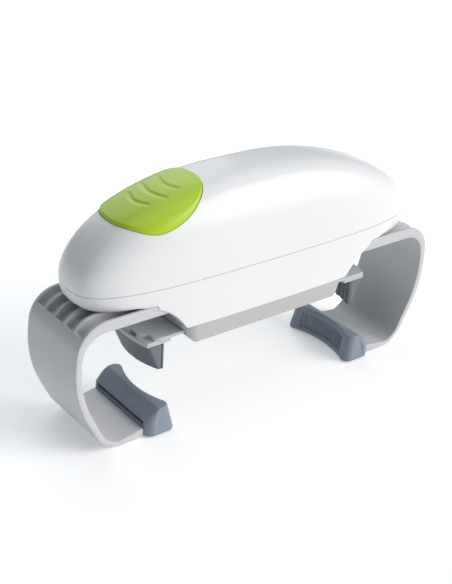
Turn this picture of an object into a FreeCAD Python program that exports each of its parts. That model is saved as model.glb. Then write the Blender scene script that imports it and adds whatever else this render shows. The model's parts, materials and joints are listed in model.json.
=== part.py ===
"""Battery jar opener: two C-shaped arms grip the jar, two jaws under the body grip and turn the lid.

Frame: +Z up, X along the body, origin on the table below the body's centre. Millimetres.
The button is at the -X end. Left pieces are on the -X side, right pieces on the +X side.
"""
import FreeCAD, Part
import math
import os
import Sketcher
from FreeCAD import Placement, Rotation, Vector

doc = FreeCAD.newDocument("jar_opener")

# ---------------------------------------------------------------- driving dimensions

sizes = {
    # body shells
    "body_half_length": 110, "body_half_width": 27, "parting_height": 85, "dome_rise": 47,
    "crown_shift": 7, "plan_power": 3.3, "nose_power": 2, "arch_power": 2.9, "shell_wall": 2.2,
    "seam_gap": 0.3, "lip_height": 1.6, "lip_wall": 1,
    "lobe_underside": 76.6, "lobe_tuck": 5, "side_tuck": 0.5, "keel_half_width": 25.3,
    "keel_half_length": 54.5, "flare_end": 67, "flare_radius": 36,
    "boss_reach": 97, "boss_spread": 9, "boss_radius": 3.4,
    # arms
    "arm_width": 47, "arm_top": 75.6, "arm_plate": 6, "arm_shoulder": 117.1, "arm_elbow": 121.4,
    "elbow_height": 37.4, "arm_heel": 102.4, "arm_end": 79, "arm_wall": 3.8, "foot_wall": 2.6,
    "shoulder_radius": 17, "elbow_radius": 65, "heel_radius": 17, "arm_end_wall": 5.4, "arm_travel": 32,
    "plate_inner": 62, "tongue_inner": 42, "tongue_width": 30, "slide_gap": 0.3,
    "pocket_count": 5, "pocket_rib": 2, "pocket_depth": 4, "pocket_inner": 66, "pocket_sweep": 50,
    "foot_tongue": 10, "foot_tongue_width": 38, "foot_tongue_thickness": 2.6,
    # jar pads
    "pad_tip": 60, "pad_middle": 65, "pad_length": 54, "pad_height": 15.6, "pad_back_height": 10.2,
    "pad_lift": 0.3, "pad_lean": 3.5, "pad_draft": 2, "pad_nose": 4, "pad_ribs": 14, "pad_rib_depth": 0.7,
    "recess_width": 3, "recess_floor": 6.4, "recess_height": 2.2, "recess_end": 5,
    # racks and their pinions
    "rack_module": 1, "rack_teeth": 16, "arm_rack_height": 4, "jaw_rack_height": 1.65,
    "rack_back": 3, "rack_overrun": 4.5,
    # rotor under the body
    "rotor_half_length": 53, "rotor_foot": 48, "rotor_shoulder": 53, "rotor_half_width": 23.2,
    "rotor_bottom": 47, "rotor_depth": 10.8, "rotor_corner": 7, "rotor_taper": 7, "rotor_cover": 1.4,
    "turn_gap": 0.4, "hub_radius": 11.2,
    "ring_radius": 16, "ring_thickness": 1.6, "shaft_radius": 3, "run_fit": 0.06, "hub_screw_circle": 7.5,
    # lid jaws
    "jaw_half_width": 20, "jaw_plate": 1.8, "jaw_plate_top": 54.2, "jaw_plate_outer": 73,
    "jaw_plate_inner": 40, "jaw_travel": 38, "flange_half_width": 18.5, "flange_thickness": 2.6,
    "flange_gap": 0.4, "flange_inner": 60, "flange_bulge": 2.3, "flange_corner": 74.7,
    "jaw_face": 64.3, "jaw_face_bulge": 3.6, "jaw_bottom": 34.5, "jaw_foot": 67.7, "grip_wall": 1.3,
    "grip_ribs": 9, "jaw_fit": 0.25, "scoop_end": 13.5, "scoop_depth": 6, "window_centre": 6.3,
    "window_width": 5.8, "window_height": 1.7, "block_nose": 2.5,
    # gear train
    "gear_module": 0.8, "main_teeth": 54, "wheel_teeth": 36, "pinion_teeth": 10, "train_angle": 20,
    "main_face": 4, "wheel_face": 2.4, "layer_gap": 0.4, "axle_radius": 1.5, "frame_plate": 2,
    "frame_half_width": 23.2, "frame_left": 43, "frame_right": 37.6, "frame_corner": 6,
    "sleeve_radius": 5, "clutch_radius": 8, "clutch_plate": 1.2, "washer_thickness": 0.6,
    "pillar_left": 36, "pillar_right": 31, "pillar_spread": 17, "pillar_radius": 2.5,
    "ledge_reach": 16, "ledge_half": 4, "ledge_inner": 19.4, "frame_screw_spread": 21.2,
    "motor_radius": 10, "motor_length": 20, "motor_shaft_radius": 1,
    # power and switch
    "cell_radius": 7.25, "cell_length": 50.5, "cell_start": 39, "cell_height": 97, "cell_gap": 0.4,
    "contact_thickness": 0.6, "tray_wall": 1.4, "door_left": 40, "door_right": 90,
    "door_bottom": 88.5, "door_top": 106, "door_corner": 4, "door_gap": 0.3, "door_layer": 1.2,
    "door_ledge": 1.8,
    "board_left": 92, "board_right": 52, "board_half_width": 13, "board_height": 96,
    "board_thickness": 1.6, "post_reach": 88, "post_inner": 72, "post_spread": 8, "post_radius": 2.2,
    "switch_height": 5.8,
    # button
    "button_centre": 62.2, "button_half_length": 25, "button_half_width": 21.6, "button_power": 2.4,
    "button_proud": 1.2, "button_wall": 2.2, "button_gap": 0.35, "button_travel": 1.5, "button_flange": 1.6,
    "stem_radius": 3.5, "plunger_height": 2, "plunger_radius": 1.6, "spring_radius": 8.6,
    "spring_wire": 0.5, "spring_turns": 6, "groove_width": 2.4, "groove_depth": 0.5,
    # screws
    "screw_radius": 1.2, "screw_head_radius": 2.3, "screw_head_height": 1.2, "screw_length": 14,
    "screw_recess": 0.3,
}

dims = doc.addObject("Spreadsheet::Sheet", "dims")
for row, (alias, amount) in enumerate(sizes.items(), start=1):
    dims.set(f"A{row}", alias)
    dims.set(f"B{row}", str(amount))
    dims.setAlias(f"B{row}", alias)

# Heights and lengths that follow from the driving dimensions.
relations = {
    "arm_half": "=dims.arm_width / 2",
    "arm_underside": "=dims.arm_top - dims.arm_plate",
    "channel_half": "=dims.arm_width / 2 + dims.slide_gap",
    "tongue_half": "=dims.tongue_width / 2",
    "rotor_top": "=dims.rotor_bottom + dims.rotor_depth",
    "rotor_ceiling": "=dims.rotor_bottom + dims.rotor_depth - dims.rotor_cover",
    "keel_bottom": "=dims.rotor_bottom + dims.rotor_depth + dims.turn_gap",
    "keel_floor": "=dims.rotor_bottom + dims.rotor_depth + dims.turn_gap + dims.shell_wall",
    "lobe_floor": "=dims.lobe_underside + dims.shell_wall",
    "ring_bottom": "=keel_floor + dims.turn_gap",
    "ring_top": "=keel_floor + dims.turn_gap + dims.ring_thickness",
    "rack_bottom": "=dims.arm_top + dims.slide_gap",
    "rack_top": "=dims.arm_top + dims.slide_gap + dims.arm_rack_height",
    "frame_bottom": "=rack_top + dims.screw_head_height",
    "frame_top": "=frame_bottom + dims.frame_plate",
    "clutch_bottom": "=frame_top + dims.layer_gap",
    "washer_bottom": "=clutch_bottom + dims.clutch_plate",
    "main_bottom": "=washer_bottom + dims.washer_thickness",
    "main_top": "=main_bottom + dims.main_face",
    "upper_clutch_bottom": "=main_top + dims.washer_thickness",
    "shaft_top": "=upper_clutch_bottom + dims.clutch_plate",
    "layer_two": "=shaft_top + dims.layer_gap",
    "layer_three": "=layer_two + dims.wheel_face + dims.layer_gap",
    "layer_four": "=layer_three + dims.wheel_face + dims.layer_gap",
    "upper_frame_bottom": "=layer_four + dims.wheel_face + dims.layer_gap",
    "upper_frame_top": "=upper_frame_bottom + dims.frame_plate",
    "motor_top": "=upper_frame_top + dims.motor_length",
    "jaw_plate_bottom": "=dims.jaw_plate_top - dims.jaw_plate",
    "flange_top": "=jaw_plate_bottom - dims.flange_gap",
    "flange_bottom": "=flange_top - dims.flange_thickness",
    "jaw_rack_bottom": "=dims.jaw_plate_top + dims.jaw_fit",
    "jaw_rack_top": "=jaw_rack_bottom + dims.jaw_rack_height",
    "groove_half": "=dims.jaw_half_width + dims.jaw_fit",
    "groove_bottom": "=jaw_plate_bottom - dims.jaw_fit",
    "groove_top": "=dims.jaw_plate_top + dims.jaw_fit",
    "lip_half": "=dims.flange_half_width + dims.slide_gap",
    "rack_pitch_radius": "=dims.rack_module * dims.rack_teeth / 2",
    "rack_outer": "=rack_pitch_radius + 1.1 * dims.rack_module + dims.rack_back",
    "bay_half_length": "=dims.rotor_foot - dims.layer_gap * 4",
    "cell_end": "=dims.cell_start + dims.cell_length",
    "cell_centre": "=dims.cell_radius + dims.cell_gap / 2",
    "tray_half_width": "=2 * dims.cell_radius + dims.cell_gap + dims.tray_wall",
    "tray_floor": "=dims.cell_height - dims.cell_radius",
    "tray_bottom": "=tray_floor - dims.tray_wall",
    "board_top": "=dims.board_height + dims.board_thickness",
    "switch_top": "=board_top + dims.switch_height",
    "plunger_top": "=switch_top + dims.plunger_height",
    "spring_seat": "=plunger_top + 12",
    "door_reach": "=dims.body_half_width + dims.shell_wall",
    "crown": "=dims.parting_height + dims.dome_rise",
}

layout = doc.addObject("Spreadsheet::Sheet", "layout")
for row, (alias, relation) in enumerate(relations.items(), start=1):
    layout.set(f"A{row}", alias)
    layout.set(f"B{row}", relation)
    layout.setAlias(f"B{row}", alias)
doc.recompute()


def size(alias):
    """Value of a named cell of either sheet."""
    sheet = dims if alias in sizes else layout
    return float(sheet.get(alias))


def term(word):
    """One signed word of a length: a cell's name, a name/number, or a plain number."""
    sign = -1 if word.startswith("-") else 1
    name, _, divisor = word.lstrip("-").partition("/")
    known = name in sizes or name in relations
    amount = size(name) if known else float(name)
    cell = ("dims." if name in sizes else "layout.") + name if known else name
    divided = f"{cell} / {divisor}" if divisor else cell
    return sign * amount / float(divisor or 1), f"(-1 * {divided})" if sign < 0 else divided


def number(length):
    """Value of a length such as 'arm_top + shell_wall'."""
    total, sign = 0.0, 1
    for word in str(length).split():
        if word in "+-":
            sign = 1 if word == "+" else -1
        else:
            total += sign * term(word)[0]
    return total


def formula(length):
    """The same length as an expression on the sheets."""
    return " ".join(word if word in "+-" else term(word)[1] for word in str(length).split())


def bind(thing, **lengths):
    """Binds properties to lengths; at_x, at_y and at_z are the placement's base."""
    for name, length in lengths.items():
        path = f"Placement.Base.{name[-1]}" if name.startswith("at_") else name
        thing.setExpression(path, formula(length))


# ---------------------------------------------------------------- bound primitives and booleans

def box(name, x0, x1, y0, y1, z0, z1):
    block = doc.addObject("Part::Box", name)
    for path, low, high in (("Length", x0, x1), ("Width", y0, y1), ("Height", z0, z1)):
        block.setExpression(path, f"({formula(high)}) - ({formula(low)})")
    bind(block, at_x=x0, at_y=y0, at_z=z0)
    return block


def cylinder(name, x, y, z0, z1, radius):
    rod = doc.addObject("Part::Cylinder", name)
    rod.setExpression("Height", f"({formula(z1)}) - ({formula(z0)})")
    bind(rod, Radius=radius, at_x=x, at_y=y, at_z=z0)
    return rod


def fuse(name, shapes):
    union = doc.addObject("Part::MultiFuse", name)
    union.Shapes = shapes
    return union


def group(name, shapes):
    bundle = doc.addObject("Part::Compound", name)
    bundle.Links = shapes
    return bundle


def cut(name, base, tools):
    difference = doc.addObject("Part::Cut", name)
    difference.Base = base
    difference.Tool = tools[0] if len(tools) == 1 else fuse(name + "_tools", tools)
    return difference


def common(name, base, tool):
    overlap = doc.addObject("Part::Common", name)
    overlap.Base = base
    overlap.Tool = tool
    return overlap


def solid(name, shape):
    """A computed shape as an object of the document."""
    feature = doc.addObject("Part::Feature", name)
    feature.Shape = shape
    return feature


pieces = {}


def piece(label, thing):
    """Registers a finished sub-part under the name of its file."""
    thing.Label = label
    pieces[label] = thing
    return thing


# ---------------------------------------------------------------- sketches and PartDesign bodies

def sketchOn(body, plane, name):
    sketch = body.newObject("Sketcher::SketchObject", name)
    origin = next(part for part in body.Origin.OriginFeatures if part.Role == plane)
    sketch.AttachmentSupport = [(origin, "")]
    sketch.MapMode = "FlatFace"
    return sketch


def sketchCircle(sketch, x, y, radius):
    middle = Vector(number(x), number(y), 0)
    index = sketch.addGeometry(Part.Circle(middle, Vector(0, 0, 1), number(radius)), False)
    for kind, length, values in (("Radius", radius, (index,)), ("DistanceX", x, (-1, 1, index, 3)),
                                 ("DistanceY", y, (-1, 1, index, 3))):
        amount = number(length)
        if kind != "Radius" and amount == 0:
            on = -2 if kind == "DistanceX" else -1
            sketch.addConstraint(Sketcher.Constraint("PointOnObject", index, 3, on))
            continue
        row = sketch.addConstraint(Sketcher.Constraint(kind, *values, amount))
        sketch.setExpression(f"Constraints[{row}]", formula(length))


def sketchPolygon(sketch, corners):
    """Closed chain of lines; each corner is a pair of lengths, each one a bound constraint."""
    points = [Vector(number(x), number(y), 0) for x, y in corners]
    count = len(points)
    first = sketch.GeometryCount
    for k in range(count):
        sketch.addGeometry(Part.LineSegment(points[k], points[(k + 1) % count]), False)
    for k in range(count):
        after = first + (k + 1) % count
        sketch.addConstraint(Sketcher.Constraint("Coincident", first + k, 2, after, 1))
    for k, (x, y) in enumerate(corners):
        for kind, length, on in (("DistanceX", x, -2), ("DistanceY", y, -1)):
            amount = number(length)
            if amount == 0:
                sketch.addConstraint(Sketcher.Constraint("PointOnObject", first + k, 1, on))
                continue
            row = sketch.addConstraint(Sketcher.Constraint(kind, -1, 1, first + k, 1, amount))
            sketch.setExpression(f"Constraints[{row}]", formula(length))


def rectangle(x0, x1, y0, y1):
    return [(x0, y0), (x1, y0), (x1, y1), (x0, y1)]


def pad(body, sketch, length, name, taper=None):
    feature = body.newObject("PartDesign::Pad", name)
    feature.Profile = sketch
    bind(feature, Length=length)
    if taper:
        bind(feature, TaperAngle=taper)
    return feature


def pocket(body, sketch, name):
    """Cuts the profile through everything, both ways."""
    feature = body.newObject("PartDesign::Pocket", name)
    feature.Profile = sketch
    feature.Type = "ThroughAll"
    feature.Midplane = True
    return feature


def roundCorners(body, name, edges, radius):
    base = body.Tip
    feature = body.newObject("PartDesign::Fillet", name)
    feature.Base = (base, edges)
    bind(feature, Radius=radius)
    return feature


def uprightEdges(shape, half_x, half_y):
    """Names of the vertical edges at the four outer corners of a plate."""
    found = []
    for index, edge in enumerate(shape.Edges, start=1):
        ends = [vertex.Point for vertex in edge.Vertexes]
        if len(ends) < 2 or abs(ends[0].z - ends[1].z) < 0.5:
            continue
        middle = (ends[0] + ends[1]) * 0.5
        if abs(middle.x) > half_x and abs(middle.y) > half_y:
            found.append(f"Edge{index}")
    return found


def plateShape(label, corners, bottom, height, holes, radius=None):
    """A flat plate padded from a sketch, with round holes, lifted to its height."""
    body = doc.addObject("PartDesign::Body", label + "_body")
    outline = sketchOn(body, "XY_Plane", label + "_outline")
    sketchPolygon(outline, corners)
    pad(body, outline, height, label + "_pad")
    doc.recompute()
    if radius:
        reach = min(abs(number(x)) for x, _ in corners) - 1
        spread = min(abs(number(y)) for _, y in corners) - 1
        roundCorners(body, label + "_corners", uprightEdges(body.Shape, reach, spread), radius)
        doc.recompute()
    if holes:
        pattern = sketchOn(body, "XY_Plane", label + "_holes")
        for x, y, bore in holes:
            sketchCircle(pattern, x, y, bore)
        pocket(body, pattern, label + "_drilled")
    bind(body, at_z=bottom)
    return body


# ---------------------------------------------------------------- outlines

def filletedWire(points):
    """Closed wire in the XY plane through (x, y, radius) corners, with tangent arcs."""
    edges, starts = [], []
    count = len(points)
    for k in range(count):
        corner = Vector(points[k][0], points[k][1], 0)
        before = Vector(points[k - 1][0], points[k - 1][1], 0) - corner
        after = Vector(points[(k + 1) % count][0], points[(k + 1) % count][1], 0) - corner
        before.normalize()
        after.normalize()
        radius = points[k][2]
        half = before.getAngle(after) / 2
        if radius <= 0 or math.pi / 2 - half < 1e-6:
            starts.append((corner, None, corner))
            continue
        reach = radius / math.tan(half)
        bisector = (before + after).normalize()
        middle = corner + bisector * (radius / math.sin(half) - radius)
        starts.append((corner + before * reach, middle, corner + after * reach))
    for k in range(count):
        enter, middle, leave = starts[k]
        if middle is not None:
            edges.append(Part.Arc(enter, middle, leave).toShape())
        following = starts[(k + 1) % count][0]
        if leave.distanceToPoint(following) > 1e-6:
            edges.append(Part.LineSegment(leave, following).toShape())
    return Part.Wire(edges)


def uprightPrism(points, half_width):
    """Solid whose (x, z, radius) outline stands in the XZ plane, from -half_width to half_width."""
    face = Part.Face(filletedWire(points))
    face.rotate(Vector(0, 0, 0), Vector(1, 0, 0), 90)
    face.translate(Vector(0, half_width, 0))
    return face.extrude(Vector(0, -2 * half_width, 0))


def flatPrism(points, bottom, top):
    """Solid whose (x, y, radius) outline lies flat, from bottom to top."""
    face = Part.Face(filletedWire(points))
    face.translate(Vector(0, 0, bottom))
    return face.extrude(Vector(0, 0, top - bottom))


def insetLine(points, distances):
    """Moves each segment of an open chain to its left by its own distance; corners stay mitred."""
    moved = []
    for k, distance in enumerate(distances):
        start, end = Vector(*points[k][:2], 0), Vector(*points[k + 1][:2], 0)
        along = (end - start).normalize()
        left = Vector(-along.y, along.x, 0) * distance
        moved.append((start + left, along))
    corners = [moved[0][0]]
    for (origin, along), (other, across) in zip(moved, moved[1:]):
        gap = other - origin
        turn = along.x * across.y - along.y * across.x
        corners.append(origin + along * ((gap.x * across.y - gap.y * across.x) / turn))
    last = Vector(*points[-1][:2], 0) - Vector(*points[-2][:2], 0)
    corners.append(moved[-1][0] + last)
    return corners


# ---------------------------------------------------------------- the body's curved shells

def ovalWire(half_length, half_width, shift, height, power="plan_power", count=40):
    """Superellipse in a horizontal plane, as one closed smooth curve."""
    power = 2 / size(power)
    points = []
    for k in range(count):
        turn = 2 * math.pi * (k + 0.5) / count
        along, across = math.cos(turn), math.sin(turn)
        points.append(Vector(shift + half_length * math.copysign(abs(along) ** power, along),
                             half_width * math.copysign(abs(across) ** power, across), height))
    curve = Part.BSplineCurve()
    curve.interpolate(Points=points, PeriodicFlag=True)
    return Part.Wire([curve.toShape()])


def domeSolid(inset, steps=12, last=87.6):
    """The dome above the parting plane, drawn in by inset all round."""
    length = size("body_half_length") - inset
    width = size("body_half_width") - inset
    rise = size("dome_rise") - inset
    sections = []
    for k in range(steps + 1):
        share = math.sin(math.radians(last) * k / steps)
        along = (1 - share ** size("nose_power")) ** (1 / size("nose_power"))
        across = (1 - share ** size("arch_power")) ** (1 / size("arch_power"))
        sections.append(ovalWire(length * along, width * across, -size("crown_shift") * share,
                                 size("parting_height") + rise * share))
    return Part.makeLoft(sections, True, False)


def trayLoft(inset, rim):
    """Plan shape of the lower shell: the rounded lobes on top, the near-upright keel sides below."""
    length = size("body_half_length") - inset
    width = size("body_half_width") - inset
    under = size("lobe_underside")
    drop = size("parting_height") - under
    lobes = [ovalWire(length, width, 0, rim)] if rim > size("parting_height") else []
    for share in (0, 0.3, 0.55, 0.75, 0.9, 1):
        bend = 1 - math.sqrt(1 - share * share)
        lobes.append(ovalWire(length - size("lobe_tuck") * bend, width - size("side_tuck") * share ** 2,
                              0, size("parting_height") - drop * share))
    tip = length - size("lobe_tuck")
    keel = [ovalWire(tip, width - size("side_tuck"), 0, under),
            ovalWire(tip, size("keel_half_width") - inset, 0, size("keel_bottom"))]
    return Part.makeLoft(lobes, True, False).fuse(Part.makeLoft(keel, True, False))


def keelProfile(inset):
    """Side view of the lower shell: flat lobes that flare down to the keel."""
    reach = size("body_half_length") + 10
    under, bottom = size("lobe_underside"), size("keel_bottom")
    half = [(reach, under), (size("flare_end"), under), (size("keel_half_length"), bottom), (0, bottom)]
    half = [(corner.x, corner.y) for corner in insetLine(half, [-inset] * 3)]
    flare = size("flare_radius") - inset
    foot = max(2.5 - inset, 0.3)
    top = size("parting_height") + 5
    right = [(reach, top, 0), (reach, half[0][1], 0), (*half[1], flare), (*half[2], foot)]
    left = [(-x, z, radius) for x, z, radius in reversed(right)]
    return right + left


domeOuter = domeSolid(0)
domeInner = domeSolid(size("shell_wall"))


def ellipsePrism(margin, bottom, top):
    """Upright prism over the button's outline, grown by margin."""
    long, short = size("button_half_length") + margin, size("button_half_width") + margin
    outline = ovalWire(long, short, -size("button_centre"), bottom, "button_power")
    return Part.Face(outline).extrude(Vector(0, 0, top - bottom))


def doorPrism(margin):
    """Prism along Y through the rear of the dome, over the battery door's outline."""
    radius = size("door_corner") + margin
    left, right = size("door_left") - margin, size("door_right") + margin
    low, high = size("door_bottom") - margin, size("door_top") + margin
    depth = size("door_reach") / 2
    block = uprightPrism([(left, low, radius), (right, low, radius), (right, high, radius),
                          (left, high, radius)], depth)
    block.translate(Vector(0, depth, 0))
    return block


def doorLedge():
    """Rim behind the battery opening that the door rests on."""
    wall, ledge, gap = size("shell_wall"), size("door_ledge"), size("door_gap")
    deep = domeSolid(wall + size("door_layer"))
    around = doorPrism(ledge).cut(doorPrism(gap)).common(domeSolid(wall / 2)).cut(deep)
    under = doorPrism(gap).cut(doorPrism(-ledge)).common(domeSolid(wall + gap)).cut(deep)
    return around.fuse(under)


def buildUpperShell():
    skin = domeOuter.cut(domeInner)
    low = size("parting_height")
    span = size("body_half_length") * 2 + 40
    slab = Part.makeBox(span, span, size("seam_gap"), Vector(-span / 2, -span / 2, low))
    skin = skin.cut(slab)
    lipTop, lipBottom = low + size("seam_gap") + 1, low - size("lip_height")
    inset = size("shell_wall") + size("slide_gap") / 3
    lip = Part.makeLoft([ovalWire(size("body_half_length") - inset, size("body_half_width") - inset, 0, z)
                         for z in (lipBottom, lipTop)], True, True)
    inset += size("lip_wall")
    bore = Part.makeLoft([ovalWire(size("body_half_length") - inset, size("body_half_width") - inset, 0, z)
                          for z in (lipBottom, lipTop)], True, True)
    posts = []
    for x in (-size("boss_reach"), size("boss_reach")):
        for y in (-size("boss_spread"), size("boss_spread")):
            base = low + size("seam_gap")
            post = Part.makeCylinder(size("boss_radius"), size("dome_rise"), Vector(x, y, base))
            post = post.common(domeOuter)
            screw = Part.makeCylinder(size("screw_radius"), size("screw_length"), Vector(x, y, low - 5))
            posts.append(post.cut(screw))
    shell = skin.fuse([lip.cut(bore)] + posts)
    shell = shell.cut(ellipsePrism(size("button_gap"), low + 5, size("crown") + 5))
    return shell.cut(doorPrism(size("door_gap"))).fuse(doorLedge())


def buildLowerShell():
    rim = size("parting_height")
    outer = trayLoft(0, rim).common(uprightPrism(keelProfile(0), size("body_half_width") + 5))
    wall = size("shell_wall")
    hollow = trayLoft(wall, rim + 1).common(uprightPrism(keelProfile(wall), size("body_half_width") + 5))
    shell = outer.cut(hollow)
    additions = []
    for x in (-size("boss_reach"), size("boss_reach")):
        for y in (-size("boss_spread"), size("boss_spread")):
            additions.append(Part.makeCylinder(size("boss_radius"), rim - size("lobe_underside"),
                                               Vector(x, y, size("lobe_underside"))))
    for x, top in ((-size("post_reach"), size("board_height")), (-size("post_inner"), size("board_height")),
                   (size("post_reach"), size("tray_bottom")), (size("post_inner"), size("tray_bottom"))):
        foot = size("rack_bottom") if abs(x) == size("post_inner") else size("lobe_floor") - 0.5
        for y in (-size("post_spread"), size("post_spread")):
            additions.append(Part.makeCylinder(size("post_radius"), top - foot, Vector(x, y, foot)))
    for x in (-size("ledge_reach"), size("ledge_reach")):
        for side in (-1, 1):
            deep = size("body_half_width") - wall / 2 - size("ledge_inner")
            y = size("ledge_inner") if side > 0 else -size("ledge_inner") - deep
            additions.append(Part.makeBox(2 * size("ledge_half"), deep,
                                          size("frame_bottom") - size("lobe_underside"),
                                          Vector(x - size("ledge_half"), y, size("lobe_underside"))))
    return shell.fuse(additions)


upperShell = piece("upper_shell", solid("upper_shell_shape", buildUpperShell()))

shellSkin = solid("lower_shell_skin", buildLowerShell())
lowerCuts = [
    box("arm_channel", "-arm_elbow", "arm_elbow", "-channel_half", "channel_half",
        "arm_underside - slide_gap", "arm_top + slide_gap"),
    cylinder("hub_bearing", "0", "0", "keel_bottom - shell_wall", "keel_floor + shell_wall",
             "hub_radius + run_fit"),
]
for side in ("-", ""):
    for row in ("-", ""):
        corner = f"{side or 'p'}{row or 'p'}".replace("-", "n")
        x, y = f"{side}boss_reach", f"{row}boss_spread"
        lowerCuts.append(cylinder(f"boss_bore_{corner}", x, y, "lobe_underside - shell_wall",
                                  "parting_height + shell_wall", "screw_radius"))
        lowerCuts.append(cylinder(f"boss_recess_{corner}", x, y, "lobe_underside - shell_wall",
                                  "lobe_underside + screw_recess + screw_head_height",
                                  "screw_head_radius + slide_gap"))
        x, y = f"{side}ledge_reach", f"{row}frame_screw_spread"
        lowerCuts.append(cylinder(f"ledge_bore_{corner}", x, y, "lobe_underside - shell_wall",
                                  "frame_top", "screw_radius"))
piece("lower_shell", cut("lower_shell_cut", shellSkin, lowerCuts))


def buildDoor():
    """A lift-off piece of the dome's skin, with two ribs that locate it inside the ledge."""
    wall, margin = size("shell_wall"), size("door_ledge") + size("door_gap")
    cover = doorPrism(0).common(domeOuter.cut(domeInner))
    behind = doorPrism(-margin).common(domeSolid(wall / 2).cut(domeSolid(wall + size("door_layer"))))
    start, end = size("door_left") + margin + 3, size("door_right") - margin - 3
    between = Part.makeBox(end - start, size("body_half_width"), size("dome_rise"),
                           Vector(start, 0, size("parting_height")))
    return cover.fuse(behind.cut(between))


piece("battery_door", solid("battery_door_shape", buildDoor()))


# ---------------------------------------------------------------- cells, tray, contacts

def rodAlongX(name, x0, x1, y, z, radius):
    rod = doc.addObject("Part::Cylinder", name)
    rod.Placement.Rotation = Rotation(Vector(0, 1, 0), 90)
    rod.setExpression("Height", f"({formula(x1)}) - ({formula(x0)})")
    bind(rod, Radius=radius, at_x=x0, at_y=y, at_z=z)
    return rod


for label, y, nose in (("front_cell", "-cell_centre", 1), ("rear_cell", "cell_centre", -1)):
    start, end = ("cell_start", "cell_end - 1") if nose > 0 else ("cell_start + 1", "cell_end")
    can = rodAlongX(label + "_can", start, end, y, "cell_height", "cell_radius")
    tip = ("cell_end - 1", "cell_end") if nose > 0 else ("cell_start", "cell_start + 1")
    knob = rodAlongX(label + "_knob", *tip, y, "cell_height", "2.6")
    piece(label, fuse(label + "_shape", [can, knob]))

trayBlock = box("tray_block", "cell_start - contact_thickness - tray_wall",
                "cell_end + contact_thickness + tray_wall", "-tray_half_width", "tray_half_width",
                "tray_bottom", "cell_height")
trayHollow = box("tray_hollow", "cell_start - contact_thickness", "cell_end + contact_thickness",
                 "-tray_half_width + tray_wall", "tray_half_width - tray_wall", "tray_floor", "crown")
trayRoom = solid("tray_room", domeSolid(size("shell_wall") + size("door_layer") + size("slide_gap")))
piece("battery_tray", common("battery_tray_shape", cut("tray_open", trayBlock, [trayHollow]), trayRoom))

for label, x0, x1 in (("left_contact", "cell_start - contact_thickness", "cell_start"),
                      ("right_contact", "cell_end", "cell_end + contact_thickness")):
    strip = box(label + "_strip", x0, x1, "-cell_centre - 5", "cell_centre + 5",
                "tray_floor", "cell_height + 5")
    piece(label, strip)

# ---------------------------------------------------------------- gears and racks

toothTop, toothRoot, pressureAngle, backlash = 0.8, 1.1, math.radians(25), 0.14


def involute(angle):
    return math.tan(angle) - angle


def gearSolid(teeth, module, phase, bottom, top, bore):
    """Stub-toothed involute gear about Z with a tooth centred on phase."""
    pitch = module * teeth / 2
    base = pitch * math.cos(pressureAngle)
    root, tip = pitch - toothRoot * module, pitch + toothTop * module
    halfTooth = (math.pi * module / 2 - backlash) / (2 * pitch) + involute(pressureAngle)
    flank = []
    for share in (0, 0.35, 0.7, 1):
        radius = max(base, root) + (tip - max(base, root)) * share
        flank.append((radius, halfTooth - involute(math.acos(min(1, base / radius)))))
    if root < base:
        flank.insert(0, (root, flank[0][1]))
    points = []
    for k in range(teeth):
        middle = phase + 2 * math.pi * k / teeth
        points += [Vector(r * math.cos(middle - a), r * math.sin(middle - a), bottom) for r, a in flank]
        points += [Vector(r * math.cos(middle + a), r * math.sin(middle + a), bottom)
                   for r, a in reversed(flank)]
    blank = Part.Face(Part.makePolygon(points + points[:1])).extrude(Vector(0, 0, top - bottom))
    return blank.cut(Part.makeCylinder(bore, top - bottom, Vector(0, 0, bottom))) if bore else blank


def meshPhase(direction, phase, teeth, otherTeeth):
    """Phase of a gear that meshes with one of the given phase, in that direction from it."""
    return direction + math.pi - (phase - direction) * teeth / otherTeeth + math.pi / otherTeeth


def rackSolid(start, end, toothEnd, bottom, top):
    """Rack along X on the -Y side of a pinion at the origin; a tooth gap faces the pinion at x = 0."""
    module, pitch = size("rack_module"), -size("rack_pitch_radius")
    step, lean = math.pi * module, math.tan(pressureAngle)
    rootLine, tipLine = pitch - toothRoot * module, pitch + toothTop * module
    rootHalf = (step / 2 - backlash) / 2 + toothRoot * module * lean
    tipHalf = (step / 2 - backlash) / 2 - toothTop * module * lean
    outline = [Vector(start, -size("rack_outer"), bottom), Vector(start, rootLine, bottom)]
    middle = step * (math.floor(start / step) + 0.5)
    while middle + rootHalf < toothEnd:
        if middle - rootHalf > start:
            outline += [Vector(middle + across, line, bottom) for across, line in (
                (-rootHalf, rootLine), (-tipHalf, tipLine), (tipHalf, tipLine), (rootHalf, rootLine))]
        middle += step
    outline += [Vector(end, rootLine, bottom), Vector(end, -size("rack_outer"), bottom)]
    return Part.Face(Part.makePolygon(outline + outline[:1])).extrude(Vector(0, 0, top - bottom))


def halfTurn(thing):
    thing.Placement = Placement(Vector(0, 0, 0), Rotation(Vector(0, 0, 1), 180))
    return thing


def mirrored(label, source):
    copy = doc.addObject("Part::Mirroring", label + "_mirror")
    copy.Source = source
    copy.Normal = Vector(1, 0, 0)
    return piece(label, copy)


def ring(name, x, y, bottom, top, outer, inner):
    return cut(name, cylinder(name + "_disc", x, y, bottom, top, outer),
               [cylinder(name + "_bore", x, y, bottom, top, inner)])


# ---------------------------------------------------------------- arms

def shoulderCentre():
    """Axis of the arm's rounded outer shoulder, and its radius."""
    corner, radius = Vector(size("arm_shoulder"), size("arm_top"), 0), size("shoulder_radius")
    down = Vector(size("arm_elbow"), size("elbow_height"), 0) - corner
    reach = radius / math.tan(down.getAngle(Vector(-1, 0, 0)) / 2)
    return Vector(corner.x - reach, 0, corner.y - radius), radius


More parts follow.
